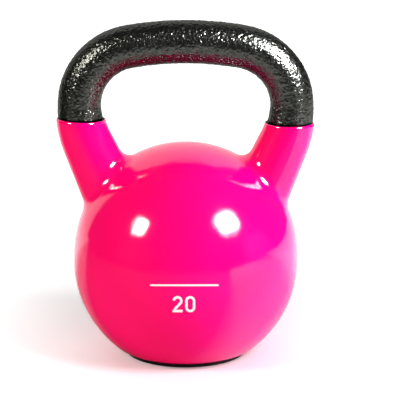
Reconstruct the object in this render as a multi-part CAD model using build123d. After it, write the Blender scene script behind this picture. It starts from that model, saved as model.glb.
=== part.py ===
from build123d import *
import math
import os

# Vinyl-dipped cast-iron kettlebell. Millimetres, Z up, X along the handle, origin under the base.

# Ball and base
BALL_DIAMETER = 171.0        # across the vinyl at the waist
BALL_LAND = 4.2              # short straight band between the two half balls
BASE_FLAT_DIAMETER = 98.0    # flat under the ball, before its edge is rounded
BASE_EDGE_ROUND = 2.0        # round on that edge of the bare iron
PAD_THICKNESS = 2.5
PAD_SETBACK = 3.0            # how far the pad stops short of the base edge
PAD_EDGE_ROUND = 0.6

# Handle and horns
WINDOW_HEIGHT = 61.6         # hand space from the ball's top to the underside of the grip
GRIP_DIAMETER = 32.2         # over the enamel, at the middle of the grip
LEG_DIAMETER = 32.4          # over the enamel, where the handle is widest
HORN_ROOT_DIAMETER = 45.0    # bare iron, at the height of the ball's waist
HANDLE_SPAN = 159.6          # between the centrelines of the two legs
GRIP_CROWN_RADIUS = 243.0    # slow arch of the grip
CORNER_RADIUS = 45.3         # turn from grip to leg
HORN_BEND_RADIUS = 72.8      # turn from leg to horn
HORN_LEAN = 23.8             # degrees that a horn leans in towards the ball
HORN_BLEND = 12.0            # cast fillet where a horn meets the ball, bare iron
RING_STEPS = 32              # even steps along the handle at which its round section is set

# Coats
VINYL_WALL = 2.0
VINYL_LIP_ROUND = 0.8        # round on the cut edge of the vinyl
DIP_RISE = 18.0              # dip line above the ball's top
DIP_TILT = 1.16              # degrees; the bell hung a little crooked over the dip tank
ENAMEL_WALL = 0.4
ENAMEL_LAP = 6.0             # enamel that runs on under the vinyl

# Heights and centres that follow from the sizes above
vinyl_ball_radius = BALL_DIAMETER / 2
iron_ball_radius = vinyl_ball_radius - VINYL_WALL
iron_base_z = PAD_THICKNESS + VINYL_WALL
low_centre_z = PAD_THICKNESS + math.sqrt(vinyl_ball_radius**2 - (BASE_FLAT_DIAMETER / 2) ** 2)
high_centre_z = low_centre_z + BALL_LAND
ball_top_z = high_centre_z + vinyl_ball_radius
grip_z = ball_top_z + WINDOW_HEIGHT + GRIP_DIAMETER / 2
leg_x = HANDLE_SPAN / 2
corner_x = leg_x - CORNER_RADIUS
crown_reach = GRIP_CROWN_RADIUS - CORNER_RADIUS
crown_turn = math.asin(corner_x / crown_reach)
corner_z = grip_z - GRIP_CROWN_RADIUS + crown_reach * math.cos(crown_turn)
lean = math.radians(HORN_LEAN)
tilt = math.radians(DIP_TILT)
dip_plane = Plane(origin=(0, 0, ball_top_z + DIP_RISE), z_dir=(math.sin(tilt), 0, math.cos(tilt)))


def on_arc(centre_x, centre_z, radius, angle):
    """Point of a circle in the XZ plane, with the angle up from +X."""
    return Vector(centre_x + radius * math.cos(angle), 0, centre_z + radius * math.sin(angle))


# Centreline of the handle, from the right root up, over the grip and down to the left root
horn_x = leg_x - HORN_BEND_RADIUS
shoulder_angle = math.pi / 2 - crown_turn
bend_end = on_arc(horn_x, corner_z, HORN_BEND_RADIUS, -lean)
root_point = bend_end - Vector(math.tan(lean), 0, 1) * (bend_end.Z - high_centre_z)
leg_point = Vector(leg_x, 0, corner_z)
shoulder_point = on_arc(corner_x, corner_z, CORNER_RADIUS, shoulder_angle)
horn_line = Line(root_point, bend_end)
bend_arc = ThreePointArc(bend_end, on_arc(horn_x, corner_z, HORN_BEND_RADIUS, -lean / 2), leg_point)
corner_middle = on_arc(corner_x, corner_z, CORNER_RADIUS, shoulder_angle / 2)
corner_arc = ThreePointArc(leg_point, corner_middle, shoulder_point)
other_shoulder = Vector(-shoulder_point.X, 0, shoulder_point.Z)
grip_arc = ThreePointArc(shoulder_point, Vector(0, 0, grip_z), other_shoulder)
right_side = [horn_line, bend_arc, corner_arc]
left_side = [edge.mirror(Plane.YZ) for edge in right_side]
handle_path = Wire(right_side + [grip_arc] + left_side)
leg_share = (horn_line.length + bend_arc.length) / handle_path.length


def ball_form(skin):
    """Ball with a flat base, grown all round by a skin over the bare iron."""
    radius = iron_ball_radius + skin
    base_z = iron_base_z - skin
    low_angle = math.asin((low_centre_z - base_z) / radius)
    base_point = on_arc(0, low_centre_z, radius, -low_angle)
    top_point = Vector(0, 0, high_centre_z + radius)
    foot = Line((0, 0, base_z), base_point)
    lower = ThreePointArc(base_point, on_arc(0, low_centre_z, radius, -low_angle / 2), (radius, 0, low_centre_z))
    land = Line((radius, 0, low_centre_z), (radius, 0, high_centre_z))
    upper = ThreePointArc((radius, 0, high_centre_z), on_arc(0, high_centre_z, radius, math.pi / 4), top_point)
    core = Line(top_point, (0, 0, base_z))
    ball = revolve(Face(Wire([foot, lower, land, upper, core])), Axis.Z)
    base_edge = ball.edges().filter_by(GeomType.CIRCLE).sort_by(Axis.Z)[0]
    return fillet(base_edge, BASE_EDGE_ROUND + skin)


def bar_radius(share):
    """Bare iron radius at a share of the centreline: the horns grow evenly from the legs to their roots."""
    root_radius = HORN_ROOT_DIAMETER / 2
    leg_radius = LEG_DIAMETER / 2 - ENAMEL_WALL
    grip_radius = GRIP_DIAMETER / 2 - ENAMEL_WALL
    near_share = min(share, 1 - share)
    if near_share < leg_share:
        return root_radius + (leg_radius - root_radius) * near_share / leg_share
    return leg_radius + (grip_radius - leg_radius) * (near_share - leg_share) / (0.5 - leg_share)


def bar_form(skin):
    """Whole handle with both horns, grown by a skin over the bare iron."""
    shares = [step / RING_STEPS for step in range(RING_STEPS + 1)]
    planes = [Plane(handle_path @ share, x_dir=(0, 1, 0), z_dir=handle_path % share) for share in shares]
    rings = [plane * Circle(bar_radius(share) + skin) for plane, share in zip(planes, shares)]
    return loft(rings)


def bell_form(skin):
    """Ball, horns and handle in one, with the corner round each horn filled."""
    ball = ball_form(skin)
    bar = bar_form(skin)
    bell = ball + bar
    corners = new_edges(ball, bar, combined=bell)
    return fillet(corners, HORN_BLEND - skin)


def below_dip(shape, drop):
    """The part of a shape under the dip line, or under a line a little lower."""
    return split(shape, bisect_by=dip_plane.offset(-drop), keep=Keep.BOTTOM)


def above_dip(shape, drop):
    """The part of a shape over the dip line, or over a line a little lower."""
    return split(shape, bisect_by=dip_plane.offset(-drop), keep=Keep.TOP)


# Ball, horns and handle bar are one pour of iron
iron_casting = bell_form(0)

# Baked hammertone coat on the handle, carried on a little under the vinyl
handle_enamel = above_dip(bar_form(ENAMEL_WALL) - bar_form(0), ENAMEL_LAP)

# Dipped vinyl coat over the ball, the base and both horns
jacket_block = below_dip(bell_form(VINYL_WALL), 0)
rim_faces = jacket_block.faces().filter_by(Axis(dip_plane.origin, dip_plane.z_dir)).sort_by(Axis.Z)[-2:]
jacket_block = fillet(rim_faces.edges(), VINYL_LIP_ROUND)
vinyl_jacket = jacket_block - iron_casting - handle_enamel

# Rubber disc glued under the vinyl
pad_radius = BASE_FLAT_DIAMETER / 2 - PAD_SETBACK
base_pad = Cylinder(pad_radius, PAD_THICKNESS, align=(Align.CENTER, Align.CENTER, Align.MIN))
base_pad = fillet(base_pad.edges().filter_by(GeomType.CIRCLE).sort_by(Axis.Z)[0], PAD_EDGE_ROUND)

os.makedirs("parts", exist_ok=True)
nodes = {
    "iron_casting": iron_casting,
    "handle_enamel": handle_enamel,
    "vinyl_jacket": vinyl_jacket,
    "base_pad": base_pad,
}
for name, shape in nodes.items():
    export_step(shape, f"parts/{name}.step")
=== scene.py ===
import math

import bmesh
import bpy
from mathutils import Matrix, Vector


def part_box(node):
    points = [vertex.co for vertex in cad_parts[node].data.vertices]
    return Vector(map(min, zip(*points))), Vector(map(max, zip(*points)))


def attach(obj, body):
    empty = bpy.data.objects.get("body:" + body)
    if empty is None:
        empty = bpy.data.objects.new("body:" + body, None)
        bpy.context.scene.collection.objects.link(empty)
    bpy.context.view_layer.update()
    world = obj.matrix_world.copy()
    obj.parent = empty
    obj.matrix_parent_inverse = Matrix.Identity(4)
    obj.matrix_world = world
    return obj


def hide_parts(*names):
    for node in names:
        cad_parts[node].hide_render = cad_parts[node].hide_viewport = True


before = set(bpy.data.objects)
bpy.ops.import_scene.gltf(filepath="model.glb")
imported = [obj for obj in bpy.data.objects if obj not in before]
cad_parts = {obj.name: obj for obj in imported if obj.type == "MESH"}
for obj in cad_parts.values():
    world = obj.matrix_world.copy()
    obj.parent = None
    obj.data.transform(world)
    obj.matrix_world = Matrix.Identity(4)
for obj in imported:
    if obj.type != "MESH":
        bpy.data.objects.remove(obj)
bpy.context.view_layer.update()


# Iron casting: ball, horns and handle bar, poured as one lump of grey iron in a sand mould.
# Two coats and a pad cover all of it, so it only carries them and shows nowhere itself.

MM = 0.001


class Lead:
    """One socket of a node tree. Arithmetic on leads adds Math nodes to that tree."""

    def __init__(self, tree, socket=None):
        self.tree = tree
        self.socket = socket

    def __getitem__(self, name):
        """Another output of the same node."""
        return Lead(self.tree, self.socket.node.outputs[name])

    def node(self, kind, settings=None, sockets=None):
        """Adds a node, gives it its settings and then its sockets, and leads on from it."""
        made = self.tree.nodes.new(kind)
        for name, value in (settings or {}).items():
            if name == "stops":
                ramp = made.color_ramp
                while len(ramp.elements) < len(value):
                    ramp.elements.new(0.5)
                for element, (position, colour) in zip(ramp.elements, value):
                    element.position = position
                    element.color = (*colour, 1.0)
            else:
                setattr(made, name, value)
        for name, value in (sockets or {}).items():
            self.feed(made.inputs[name], value)
        return Lead(self.tree, made.outputs[0] if made.outputs else None)

    def feed(self, socket, value):
        """Links a lead to a socket, or writes a plain value on it."""
        if isinstance(value, Lead):
            self.tree.links.new(value.socket, socket)
        else:
            socket.default_value = value

    def math(self, operation, *others):
        """A Math node on this lead and any others."""
        return self.node("ShaderNodeMath", {"operation": operation}, dict(enumerate((self, *others))))

    def at_least(self, lowest):
        return self.math("MAXIMUM", lowest)

    def at_most(self, highest):
        return self.math("MINIMUM", highest)

    def clamped(self, lowest=0.0, highest=1.0):
        return self.at_least(lowest).at_most(highest)

    def __add__(self, other):
        return self.math("ADD", other)

    def __sub__(self, other):
        return self.math("SUBTRACT", other)

    def __rsub__(self, other):
        return (self * -1.0) + other

    def __mul__(self, other):
        return self.math("MULTIPLY", other)

    def __truediv__(self, other):
        return self.math("DIVIDE", other)

    __radd__ = __add__
    __rmul__ = __mul__


def new_finish(name, **constants):
    """A material with these shader constants; gives it, a lead on its own places and its shader's sockets."""
    material = bpy.data.materials.new(name)
    material.use_nodes = True
    sockets = material.node_tree.nodes["Principled BSDF"].inputs
    for word, value in constants.items():
        sockets[word.replace("_", " ")].default_value = value
    place = Lead(material.node_tree).node("ShaderNodeTexCoord")["Object"]
    return material, place, sockets


def mottle(place, per_metre, detail):
    """Soft random patches, so many to the metre."""
    return place.node("ShaderNodeTexNoise", {}, {"Vector": place, "Scale": per_metre, "Detail": detail})


def shade(amount, stops):
    """The colour that an amount has on a scale of colours."""
    return amount.node("ShaderNodeValToRGB", {"stops": stops}, {"Fac": amount})


def dent(height, depth, strength=1.0):
    """A surface that looks dented by a height, at most this deep."""
    return height.node("ShaderNodeBump", {}, {"Height": height, "Strength": strength, "Distance": depth})


iron_colours = [(0.3, (0.07, 0.066, 0.062)), (0.7, (0.16, 0.155, 0.15))]
sand_grains_per_metre = 900.0
scale_patches_per_metre = 60.0
sand_grain_depth = 0.3 * MM

iron_finish, place, shader = new_finish("grey iron", Metallic=0.85)
sand_grain = mottle(place, sand_grains_per_metre, detail=4.0)
scale_patches = mottle(place, scale_patches_per_metre, detail=3.0)
place.feed(shader["Base Color"], shade(scale_patches, iron_colours))
place.feed(shader["Roughness"], 0.45 + 0.3 * scale_patches)
place.feed(shader["Normal"], dent(sand_grain, sand_grain_depth, strength=0.6))

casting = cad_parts["iron_casting"]
casting.data.materials.clear()
casting.data.materials.append(iron_finish)


# Handle enamel: a thick coat of glossy black hammertone paint, sprayed on the bar and baked.
# The paint pulls back into shallow dimples as it dries; both ends run in under the vinyl.

dip_height = 180.27 * MM
dip_tilt = math.radians(1.16)
bend_radius = 72.8 * MM
grip_turn = math.radians(10.05)
dimple_size = 2.6 * MM
dimple_blur = 0.25
lump_size = 2.0 * MM


def grow(name, sizes, build, material):
    """Runs a geometry tree with these named sizes and leaves what it makes as a plain mesh object."""
    tree = bpy.data.node_groups.new(name, "GeometryNodeTree")
    tree.interface.new_socket("Geometry", in_out="OUTPUT", socket_type="NodeSocketGeometry")
    entries = []
    for word in sizes:
        entries.append(tree.interface.new_socket(word, in_out="INPUT", socket_type="NodeSocketFloat"))
    source = Lead(tree).node("NodeGroupInput")
    shape = build(source)
    shape = shape.node("GeometryNodeRealizeInstances", {}, {"Geometry": shape})
    shape = shape.node("GeometryNodeSetShadeSmooth", {}, {"Geometry": shape})
    shape = shape.node("GeometryNodeSetMaterial", {}, {"Geometry": shape, "Material": material})
    shape.node("NodeGroupOutput", {}, {"Geometry": shape})
    piece = bpy.data.objects.new(name, bpy.data.meshes.new(name))
    bpy.context.scene.collection.objects.link(piece)
    modifier = piece.modifiers.new(name, "NODES")
    modifier.node_group = tree
    for entry in entries:
        modifier[entry.identifier] = sizes[entry.name]
    made = bpy.data.meshes.new_from_object(piece.evaluated_get(bpy.context.evaluated_depsgraph_get()))
    piece.modifiers.remove(modifier)
    piece.data = made
    return piece


def cells(place, size, blur):
    """Round pits side by side, each about this wide: deepest in their middles."""
    return place.node(
        "ShaderNodeTexVoronoi",
        {"feature": "SMOOTH_F1"},
        {"Vector": place, "Scale": 1.0 / size, "Smoothness": blur},
    )


def handle_tube(size):
    """A grid rolled round the bar's three arcs and folded back inside, so that the coat is a closed skin."""
    spokes = 200
    outer_rows = 225
    inner_rows = 24
    hem = inner_rows / outer_rows
    weld = 0.01 * MM
    grid = size.node(
        "GeometryNodeMeshGrid",
        {},
        {
            "Size X": 2.0 + 2.0 * hem,
            "Size Y": math.tau,
            "Vertices X": 2 * (outer_rows + inner_rows) + 1,
            "Vertices Y": spokes + 1,
        },
    )
    spot = size.node("GeometryNodeInputPosition")
    apart = spot.node("ShaderNodeSeparateXYZ", {}, {"Vector": spot})
    side = apart["X"].math("SIGN")
    reach = apart["X"].math("ABSOLUTE")
    inside = reach.math("GREATER_THAN", 1.0 + 0.5 / outer_rows)
    grip_length = size["Grip Radius"] * size["Grip Turn"]
    corner_length = size["Corner Radius"] * size["Corner Turn"]
    leg_length = size["Leg Radius"] * size["Leg Turn"]
    share = reach.at_most((1.0 + hem - reach) / hem)
    along = share * (grip_length + corner_length + leg_length)
    grip_end = along.at_most(grip_length) / size["Grip Radius"]
    past_grip = (along - grip_length).at_least(0.0)
    corner_end = grip_end + past_grip.at_most(corner_length) / size["Corner Radius"]
    past_corner = (past_grip - corner_length).at_least(0.0)
    leg_end = corner_end + past_corner / size["Leg Radius"]
    across = size["Grip Radius"] * grip_end.math("SINE")
    across = across + size["Corner Radius"] * (corner_end.math("SINE") - grip_end.math("SINE"))
    across = across + size["Leg Radius"] * (leg_end.math("SINE") - corner_end.math("SINE"))
    drop = size["Grip Radius"] * (1.0 - grip_end.math("COSINE"))
    drop = drop + size["Corner Radius"] * (grip_end.math("COSINE") - corner_end.math("COSINE"))
    drop = drop + size["Leg Radius"] * (corner_end.math("COSINE") - leg_end.math("COSINE"))

    def around(girth):
        """The point at this distance from the bar's middle line."""
        outward = girth * apart["Y"].math("COSINE")
        return spot.node(
            "ShaderNodeCombineXYZ",
            {},
            {
                "X": side * (across + outward * leg_end.math("SINE")),
                "Y": girth * apart["Y"].math("SINE"),
                "Z": size["Top"] - drop + outward * leg_end.math("COSINE"),
            },
        )

    swell = size["Bar Radius"] + size["Leg Growth"] * along + size["Horn Growth"] * past_corner
    level = around(swell)
    # Both swing about zero, so that the coat keeps its level
    dimples = 2.0 * cells(level, dimple_size, dimple_blur) - 0.75
    lumps = mottle(level, 1.0 / lump_size, detail=1.0) - 0.5
    lift = size["Dimple Depth"] * dimples + size["Lump Height"] * lumps
    skin = around(swell + lift * (1.0 - inside) - size["Coat Wall"] * inside)
    tube = grid.node("GeometryNodeSetPosition", {}, {"Geometry": grid, "Position": skin})
    return tube.node("GeometryNodeMergeByDistance", {}, {"Geometry": tube, "Distance": weld})


# The darkest stop is only reached just above the vinyl lip: painted shade.
enamel_colours = [
    (0.0, (0.004, 0.004, 0.004)),
    (0.25, (0.058, 0.062, 0.054)),
    (0.8, (0.120, 0.124, 0.108)),
]
enamel_edge_tint = (0.5, 0.5, 0.5, 1.0)
flake_size = 1.1 * MM
grit_size = 1.4 * MM
grit_depth = 0.34 * MM
smears_per_metre = 55.0
pit_share = 0.6
flake_share = 0.5
shade_line_rise = 1.0 * MM
shade_line_fade = 1.6 * MM

enamel_finish, place, shader = new_finish("black hammertone", Metallic=1.0, Specular_Tint=enamel_edge_tint)
flakes = mottle(place, 1.0 / flake_size, detail=3.0)
smears = mottle(place, smears_per_metre, detail=4.0)
pits = cells(place, dimple_size, dimple_blur)
grit = mottle(place, 1.0 / grit_size, detail=1.0)
apart = place.node("ShaderNodeSeparateXYZ", {}, {"Vector": place})
# Just above the lip the colour fades to near black: painted shade where the vinyl lip meets the bar. Pits and
# flakes give the paint's own paler tone.
above_lip = apart["Z"] + math.tan(dip_tilt) * apart["X"] - dip_height - shade_line_rise
clear_of_painted_shade = (above_lip / shade_line_fade).clamped()
paleness_and_painted_shade = clear_of_painted_shade * (pit_share * pits + flake_share * flakes)
place.feed(shader["Base Color"], shade(paleness_and_painted_shade, enamel_colours))
place.feed(shader["Roughness"], 0.17 + 0.12 * smears)
place.feed(shader["Normal"], dent(grit, grit_depth))

enamel_sizes = {
    "Top": 239.97 * MM,
    "Grip Radius": 243.0 * MM,
    "Grip Turn": grip_turn,
    "Corner Radius": 45.3 * MM,
    "Corner Turn": math.pi / 2.0 - grip_turn,
    "Leg Radius": bend_radius,
    "Leg Turn": math.radians(14.0),
    "Bar Radius": 16.1 * MM,
    "Leg Growth": 0.1 / 105.8,
    "Horn Growth": 0.0532,
    "Dimple Depth": 0.17 * MM,
    "Lump Height": 0.85 * MM,
    "Coat Wall": 0.4 * MM,
}
enamel = grow("enamel_coat", enamel_sizes, handle_tube, enamel_finish)
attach(enamel, "root")
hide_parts("handle_enamel")


# Vinyl jacket: pink plastisol, dipped on the hot casting upside down up to the horns and cured.
# It flows into a smooth blend round each horn and ends in a thick rounded lip at the dip line.

jacket_low, jacket_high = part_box("vinyl_jacket")
ball_radius = jacket_high.y
ball_land = 4.2 * MM
low_centre = 72.57 * MM
high_centre = low_centre + ball_land
wall = 1.5 * MM


def bell_distance(point, size):
    """Distance from the dipped skin: a ball on a flat, with a curved horn blended in on each side."""
    apart = point.node("ShaderNodeSeparateXYZ", {}, {"Vector": point})
    x = apart["X"].math("ABSOLUTE")
    y = apart["Y"]
    z = apart["Z"]
    rise = z - z.clamped(size["Low Centre"], size["High Centre"])
    ball = (x * x + y * y + rise * rise).math("SQRT") - size["Ball Radius"]
    out = x - size["Bend Across"]
    drop = size["Bend Height"] - z
    turn = drop.math("ARCTAN2", out).at_most(size["Lean"])
    aside = out * turn.math("COSINE") + drop * turn.math("SINE") - size["Bend Radius"]
    along = turn * size["Bend Radius"] + drop * turn.math("COSINE") - out * turn.math("SINE")
    girth = size["Leg Radius"] + size["Horn Growth"] * along
    horn = (aside * aside + y * y).math("SQRT") - girth
    blend = size["Blend"] * (1.0 - size["Outer Ease"] * (aside / girth).clamped(-1.0, 1.0))
    near_ball = (blend - ball).at_least(0.0)
    near_horn = (blend - horn).at_least(0.0)
    hollow = (near_ball * near_ball + near_horn * near_horn).math("SQRT")
    bell = ball.at_most(horn).at_least(blend) - hollow
    under = size["Base Height"] - z
    bell_edge = (bell + size["Base Round"]).at_least(0.0)
    under_edge = (under + size["Base Round"]).at_least(0.0)
    edge = (bell_edge * bell_edge + under_edge * under_edge).math("SQRT")
    return bell.at_least(under).at_most(-1.0 * size["Base Round"]) + edge


def jacket_skin(size):
    """The zero of that distance as a mesh, each point then slid down the slope onto the zero."""
    voxel = 1.8 * MM
    low = (-104.0 * MM, -90.0 * MM, -4.0 * MM)
    high = (104.0 * MM, 90.0 * MM, 188.0 * MM)
    counts = [int((top - bottom) / voxel) for bottom, top in zip(low, high)]
    reach = 0.2 * MM
    spot = size.node("GeometryNodeInputPosition")
    here = bell_distance(spot, size)
    cube = here.node(
        "GeometryNodeVolumeCube",
        {},
        {
            "Density": -1.0 * here,
            "Background": -1.0,
            "Min": low,
            "Max": high,
            "Resolution X": counts[0],
            "Resolution Y": counts[1],
            "Resolution Z": counts[2],
        },
    )
    skin = cube.node("GeometryNodeVolumeToMesh", {}, {"Volume": cube, "Threshold": 0.0})
    slope = {}
    for axis, step in zip("XYZ", ((reach, 0, 0), (0, reach, 0), (0, 0, reach))):
        beside = spot.node("ShaderNodeVectorMath", {"operation": "ADD"}, {0: spot, 1: step})
        slope[axis] = (bell_distance(beside, size) - here) / reach * (-1.0 * here)
    slide = here.node("ShaderNodeCombineXYZ", {}, slope)
    return skin.node("GeometryNodeSetPosition", {}, {"Geometry": skin, "Offset": slide})


vinyl_colours = [(0.3, (0.96, 0.0, 0.128)), (0.7, (1.0, 0.0, 0.150))]
ripples_per_metre = 42.0
ripple_depth = 0.45 * MM
clouds_per_metre = 22.0

vinyl_finish, place, shader = new_finish("pink vinyl", IOR=1.56)
ripple = mottle(place, ripples_per_metre, detail=2.0)
cloud = mottle(place, clouds_per_metre, detail=3.0)
place.feed(shader["Base Color"], shade(cloud, vinyl_colours))
place.feed(shader["Roughness"], 0.05 + 0.05 * cloud)
place.feed(shader["Normal"], dent(ripple, ripple_depth))

jacket_sizes = {
    "Ball Radius": ball_radius,
    "Low Centre": low_centre,
    "High Centre": high_centre,
    "Base Height": jacket_low.z,
    "Base Round": 4.0 * MM,
    "Bend Across": 7.0 * MM,
    "Bend Height": 191.63 * MM,
    "Bend Radius": bend_radius,
    "Lean": math.radians(23.8),
    "Leg Radius": 17.8 * MM,
    "Horn Growth": 6.7 / 123.6,
    "Blend": 6.8 * MM,
    "Outer Ease": 0.4,
}
jacket = grow("dipped_vinyl", jacket_sizes, jacket_skin, vinyl_finish)

# The lip rises from the skin to its crest in a quarter oval, and a smaller one turns down to the iron's side.
lip_height = 1.8 * MM
lip_crest = 0.79
lip_shoulder = 0.70
rise_steps = 7
fall_steps = 3
lip_profile = []
for step in range(1, rise_steps + 1):
    turn = math.pi / 2.0 * step / rise_steps
    lip_profile.append((lip_crest * (1.0 - math.cos(turn)), math.sin(turn)))
for step in range(1, fall_steps + 1):
    turn = math.pi / 2.0 * step / fall_steps
    inward = lip_crest + (1.0 - lip_crest) * math.sin(turn)
    lip_profile.append((inward, lip_shoulder + (1.0 - lip_shoulder) * math.cos(turn)))

dip_normal = Vector((math.sin(dip_tilt), 0.0, math.cos(dip_tilt)))
dip_point = Vector((0.0, 0.0, dip_height - lip_height))
shell = bmesh.new()
shell.from_mesh(jacket.data)
cut = shell.verts[:] + shell.edges[:] + shell.faces[:]
bmesh.ops.bisect_plane(shell, geom=cut, plane_co=dip_point, plane_no=dip_normal, clear_outer=True)
shell.normal_update()
outer_faces = shell.faces[:]
rim_edges = [edge for edge in shell.edges if edge.is_boundary]
column = {}
for vertex in shell.verts[:]:
    column[vertex] = [vertex, shell.verts.new(vertex.co - wall * vertex.normal)]
for face in outer_faces:
    shell.faces.new([column[vertex][-1] for vertex in reversed(face.verts)])
for vertex in {vertex for edge in rim_edges for vertex in edge.verts}:
    inner = column[vertex].pop()
    for inward, rise in lip_profile:
        lip = vertex.co.lerp(inner.co, inward) + rise * lip_height * dip_normal
        column[vertex].append(shell.verts.new(lip))
    column[vertex].append(inner)
for edge in rim_edges:
    start = edge.link_loops[0].vert
    end = edge.other_vert(start)
    for step in range(len(lip_profile) + 1):
        strip = (column[end][step], column[start][step], column[start][step + 1], column[end][step + 1])
        shell.faces.new(strip)
for face in shell.faces:
    face.smooth = True
    face.material_index = outer_faces[0].material_index
shell.to_mesh(jacket.data)
shell.free()
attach(jacket, "root")
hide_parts("vinyl_jacket")


# Weight print: the number of kilograms under a rule, pad-printed in white ink on the vinyl.
# Ink is a skin of a few hundredths of a millimetre that follows the ball.

ink_lift = 0.06 * MM
ink_sink = 0.05 * MM
pad_tilt = math.radians(15.4)


def on_ball(across, up, lift):
    """Where a printing pad tipped up by its tilt puts a point of the flat artwork on the ball."""
    radius = ball_radius + lift
    deep = math.sqrt(radius ** 2 - across ** 2 - up ** 2)
    height = low_centre + up * math.cos(pad_tilt) + deep * math.sin(pad_tilt)
    if height > low_centre:
        deep = (math.sqrt(radius ** 2 - across ** 2) + up * math.sin(pad_tilt)) / math.cos(pad_tilt)
        height = low_centre + up * math.cos(pad_tilt) + deep * math.sin(pad_tilt)
    return Vector((across, up * math.sin(pad_tilt) - deep * math.cos(pad_tilt), height))


def arc(centre, radius, start, end):
    """Points along a circle between two angles in degrees."""
    count = 24
    angles = [math.radians(start + (end - start) * step / count) for step in range(count + 1)]
    return [(centre[0] + radius * math.cos(a), centre[1] + radius * math.sin(a)) for a in angles]


def line(start, end):
    """Points along a straight line, close enough together to follow the ball."""
    spacing = 0.5 * MM
    count = max(2, int(math.dist(start, end) / spacing))
    shares = [step / count for step in range(count + 1)]
    return [tuple(a + (b - a) * share for a, b in zip(start, end)) for share in shares]


def ribbon(path, widths, closed=False):
    """Lays a stroke of ink of these half widths along a path of points on the ball."""
    rows = []
    for index, point in enumerate(path):
        before = path[index - 1] if index or closed else point
        after = path[(index + 1) % len(path)] if index + 1 < len(path) or closed else point
        way = Vector((after[0] - before[0], after[1] - before[1])).normalized()
        half = widths[index]
        left = (point[0] - way.y * half, point[1] + way.x * half)
        right = (point[0] + way.y * half, point[1] - way.x * half)
        corners = ((left, ink_lift), (right, ink_lift), (right, -ink_sink), (left, -ink_sink))
        rows.append([ink.verts.new(on_ball(*spot, lift)) for spot, lift in corners])
    pairs = list(zip(rows, rows[1:]))
    if closed:
        pairs.append((rows[-1], rows[0]))
    else:
        ink.faces.new(rows[0])
        ink.faces.new(rows[-1][::-1])
    for first, second in pairs:
        for corner in range(4):
            after = (corner + 1) % 4
            ink.faces.new((first[corner], second[corner], second[after], first[after]))


ink = bmesh.new()

rule_x = -0.5 * MM
rule_up = -19.55 * MM
rule_reach = 25.0 * MM
rule_half = 0.66 * MM
end_shares = {0: 0.35, 1: 0.86}
rule = line((rule_x - rule_reach, rule_up), (rule_x + rule_reach, rule_up))
from_end = [min(index, len(rule) - 1 - index) for index in range(len(rule))]
ribbon(rule, [rule_half * end_shares.get(index, 1.0) for index in from_end])

stroke = 1.8 * MM
stroke_half = stroke / 2.0
digit_width = 7.3 * MM
digit_height = 11.9 * MM
digit_up = -33.35 * MM
reach_x = (digit_width - stroke) / 2.0
reach_y = (digit_height - stroke) / 2.0
shoulder = reach_y - reach_x

two_x = -5.55 * MM
bowl_start = 172.0
bowl_end = -28.0
foot_inset = 0.35 * MM
two_base = digit_up - reach_y
bowl = arc((two_x, digit_up + shoulder), reach_x, bowl_start, bowl_end)
foot = (two_x - reach_x + foot_inset, two_base + stroke_half)
two = bowl + line(bowl[-1], foot)[1:]
ribbon(two, [stroke_half] * len(two))
two_bar = line((two_x - digit_width / 2.0, two_base), (two_x + digit_width / 2.0, two_base))
ribbon(two_bar, [stroke_half] * len(two_bar))

zero_x = 3.7 * MM
left_x = zero_x - reach_x
right_x = zero_x + reach_x
top_up = digit_up + shoulder
low_up = digit_up - shoulder
zero = arc((zero_x, top_up), reach_x, 0.0, 180.0)
zero += line((left_x, top_up), (left_x, low_up))[1:-1]
zero += arc((zero_x, low_up), reach_x, 180.0, 360.0)
zero += line((right_x, low_up), (right_x, top_up))[1:-1]
ribbon(zero, [stroke_half] * len(zero), closed=True)
bmesh.ops.recalc_face_normals(ink, faces=ink.faces)

ink_colours = [(0.3, (0.92, 0.91, 0.92)), (0.7, (0.96, 0.955, 0.96))]
specks_per_metre = 700.0
ink_finish, place, shader = new_finish("white ink", IOR=1.5)
speck = mottle(place, specks_per_metre, detail=3.0)
place.feed(shader["Base Color"], shade(speck, ink_colours))
place.feed(shader["Roughness"], 0.2 + 0.2 * speck)

print_mesh = bpy.data.meshes.new("weight_print")
ink.to_mesh(print_mesh)
ink.free()
print_mesh.materials.append(ink_finish)
weight_print = bpy.data.objects.new("weight_print", print_mesh)
bpy.context.scene.collection.objects.link(weight_print)
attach(weight_print, "root")


# Base pad: a disc of black rubber glued under the flat of the ball to spare the floor.
# Moulded, so its rim is rounded and its faces carry the fine pebble of the mould.

rubber_colours = [(0.35, (0.010, 0.010, 0.011)), (0.75, (0.026, 0.025, 0.025))]
pebble_size = 0.8 * MM
pebble_depth = 0.2 * MM
dust_patches_per_metre = 90.0
pad_finish, place, shader = new_finish("black rubber", IOR=1.52)
pebble = cells(place, pebble_size, blur=0.5)
dust = mottle(place, dust_patches_per_metre, detail=5.0)
place.feed(shader["Base Color"], shade(dust, rubber_colours))
place.feed(shader["Roughness"], 0.5 + 0.3 * dust)
place.feed(shader["Normal"], dent(pebble, pebble_depth, strength=0.5))

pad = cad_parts["base_pad"]
pad.data.materials.clear()
pad.data.materials.append(pad_finish)


# Table: a pale sheet that runs on behind the bell until it is lost in white.
# It keeps the bell's shadow, and its glow for the lens is weaker round the bell: a painted shadow that fades
# out on the left.
# In gloss it is painted dark in front and pale behind, and glows behind: a painted reflection on the bell.

table_half = 6.0
table_colours_and_painted_reflection = [(0.0, (0.08, 0.08, 0.08)), (1.0, (0.85, 0.85, 0.85))]
pale_slant = 0.5
extra_slant_on_right = 0.45
pale_edge = 0.053
pale_edge_sharpness = 22.0
shadow_middle = 0.06
shadow_flatness = 0.45
shadow_reach = 0.085
painted_shadow_glow = 0.29
shadow_fade = 4.4
darkest_painted_shadow_glow = 0.2
back_edge = 0.05
back_edge_sharpness = 8.0

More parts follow.
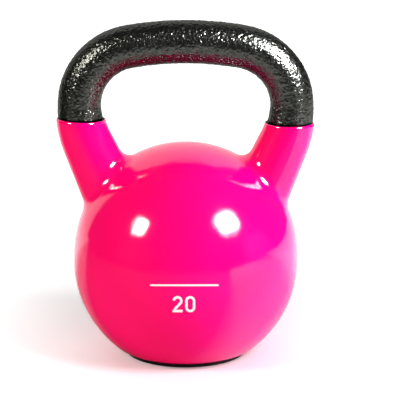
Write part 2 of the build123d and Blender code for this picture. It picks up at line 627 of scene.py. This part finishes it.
table_finish, place, shader = new_finish("pale table", Roughness=0.8, Emission_Strength=1.0)
apart = place.node("ShaderNodeSeparateXYZ", {}, {"Vector": place})
rays = place.node("ShaderNodeLightPath")
# In gloss the table's colour is painted dark in front and pale behind: a painted reflection. Other rays see
# it pale all over.
back = apart["Y"] + pale_slant * apart["X"] + extra_slant_on_right * apart["X"].at_least(0.0)
far_side = (back + pale_edge) * pale_edge_sharpness
painted_reflection_fade = far_side.at_least(1.0 - rays["Is Glossy Ray"])
place.feed(shader["Base Color"], shade(painted_reflection_fade, table_colours_and_painted_reflection))
# The table's glow for the lens is weaker round the bell, most on its left: a painted shadow laid over the
# lamps' real one.
behind = shadow_flatness * (apart["Y"] - shadow_middle)
away = (apart["X"] * apart["X"] + behind * behind).math("SQRT")
glow = (painted_shadow_glow + shadow_fade * (away - shadow_reach)).clamped(darkest_painted_shadow_glow, 1.0)
# Behind the bell the table also glows in gloss: a painted reflection.
glow_back = apart["Y"] + pale_slant * apart["X"].at_most(0.0)
painted_glow_behind = ((glow_back - back_edge) * back_edge_sharpness).clamped()
shown = rays["Is Camera Ray"].at_least(painted_glow_behind * rays["Is Glossy Ray"])
place.feed(shader["Emission Color"], glow * shown)

near_corners = [(-table_half, -table_half, 0.0), (table_half, -table_half, 0.0)]
far_corners = [(table_half, table_half, 0.0), (-table_half, table_half, 0.0)]
table_mesh = bpy.data.meshes.new("floor")
table_mesh.from_pydata(near_corners + far_corners, [], [(0, 1, 2, 3)])
table_mesh.materials.append(table_finish)
table = bpy.data.objects.new("floor", table_mesh)
bpy.context.scene.collection.objects.link(table)


# Lamps: two softboxes in front, each with a hot middle that shows only in the vinyl's gloss or, on the
# right, in both coats'. Two tinted fills light the vinyl alone, warm on the left and cool on the right.
# A white card on the table in front lights the enamel alone.

ball_middle = Vector((0.0, 0.0, (low_centre + high_centre) / 2.0))


def hang_lamp(name, spot, aim, width, height, power, tint, lit=None):
    """A flat lamp at a spot, turned to face its aim and unseen by the lens; it may light only some pieces."""
    lamp = bpy.data.lights.new(name, "AREA")
    lamp.shape = "RECTANGLE"
    lamp.size = width
    lamp.size_y = height
    lamp.energy = power
    lamp.color = tint
    hung = bpy.data.objects.new(name, lamp)
    hung.location = spot
    hung.rotation_euler = (Vector(aim) - hung.location).to_track_quat("-Z", "Y").to_euler()
    hung.visible_camera = False
    bpy.context.scene.collection.objects.link(hung)
    if lit:
        hung.light_linking.receiver_collection = bpy.data.collections.new(name)
        for piece in lit:
            hung.light_linking.receiver_collection.objects.link(piece)
    return hung


def soften(hung, squareness):
    """Rounds a lamp's corners, the less the higher its squareness, and fades its edge."""
    edge_sharpness = 5.0
    lamp = hung.data
    lamp.use_nodes = True
    spot = Lead(lamp.node_tree).node("ShaderNodeNewGeometry")["Parametric"]
    apart = spot.node("ShaderNodeSeparateXYZ", {}, {"Vector": spot})
    across = (apart["X"] - 0.5).math("ABSOLUTE").math("POWER", squareness)
    up = (apart["Y"] - 0.5).math("ABSOLUTE").math("POWER", squareness)
    from_middle = (across + up).math("POWER", 1.0 / squareness)
    edge_fade = ((0.5 - from_middle) * edge_sharpness).clamped()
    spot.feed(lamp.node_tree.nodes["Emission"].inputs["Strength"], edge_fade)


softbox_distance = 1.30
glare_distance = 1.29
glare_share = 0.72
glare_brightness = 500.0
softboxes = (
    ("left", (-0.687, -0.481, 0.545), 0.42, 0.42, 3.2, 80.0, (1.0, 0.97, 0.93), [jacket]),
    ("right", (0.633, -0.477, 0.609), 0.70, 0.64, 2.4, 64.0, (1.0, 0.99, 1.06), [jacket, enamel]),
)
for side, way, width, height, squareness, brightness, tint, glossy in softboxes:
    way = Vector(way).normalized()
    spot = ball_middle + softbox_distance * way
    power = brightness * width * height
    softbox = hang_lamp(side + " softbox", spot, ball_middle, width, height, power, tint)
    soften(softbox, squareness)
    width = glare_share * width
    height = glare_share * height
    power = glare_brightness * width * height
    spot = ball_middle + glare_distance * way
    glare = hang_lamp(side + " glare", spot, ball_middle, width, height, power, tint, glossy)
    glare.visible_diffuse = False
    soften(glare, squareness)

fill_width = 1.4
fill_height = 0.8
fills = (
    ("warm fill", (-2.0, -1.3, 0.35), 8.0, (1.10, 0.80, 0.05)),
    ("cool fill", (2.3, -0.5, 0.45), 38.0, (0.45, 0.45, 3.20)),
)
for name, spot, power, tint in fills:
    fill = hang_lamp(name, spot, ball_middle, fill_width, fill_height, power, tint, [jacket])
    fill.visible_glossy = False

card_width = 1.2
card_depth = 0.5
card_glow = 0.80
card_power = card_glow * math.pi * card_width * card_depth
card_tint = (1.0, 1.0, 1.0)
card_spot = Vector((0.0, -0.40, 0.005))
straight_up = card_spot + Vector((0.0, 0.0, 1.0))
hang_lamp("handle card", card_spot, straight_up, card_width, card_depth, card_power, card_tint, [enamel])


# Wall and camera: a white wall behind the table, lit from edge to edge and dark above its top.
# The lens is long and stands a little to the right, looking down at the bell.

wall_left_slant = 1.6
wall_right_slant = 0.7
wall_left_sharpness = 8.0
wall_right_sharpness = 16.0
wall_top = 0.9333
wall_top_sharpness = 6.0
room_glow = 0.05

world = bpy.data.worlds.new("studio")
world.use_nodes = True
bpy.context.scene.world = world
way = Lead(world.node_tree).node("ShaderNodeTexCoord")["Generated"]
apart = way.node("ShaderNodeSeparateXYZ", {}, {"Vector": way})
left_end = ((apart["X"] + wall_left_slant * apart["Y"]) * wall_left_sharpness).clamped()
right_end = ((wall_right_slant * apart["Y"] - apart["X"]) * wall_right_sharpness).clamped()
under_top = ((wall_top - apart["Z"]) * wall_top_sharpness).clamped()
wall_glow = room_glow + (1.0 - room_glow) * left_end * right_end * under_top
seen = way.node("ShaderNodeLightPath")["Is Camera Ray"]
background = world.node_tree.nodes["Background"]
background.inputs["Color"].default_value = (1.0, 1.0, 1.0, 1.0)
way.feed(background.inputs["Strength"], wall_glow.at_least(seen))

camera_lens = bpy.data.cameras.new("camera")
camera_lens.lens = 195.5
camera = bpy.data.objects.new("camera", camera_lens)
camera.location = (10.8 * MM, -1600.0 * MM, 514.0 * MM)
aim = Vector((10.8 * MM, 0.0, 118.4 * MM))
camera.rotation_euler = (aim - camera.location).to_track_quat("-Z", "Y").to_euler()
bpy.context.scene.collection.objects.link(camera)
bpy.context.scene.camera = camera
bpy.context.scene.view_settings.view_transform = "Standard"
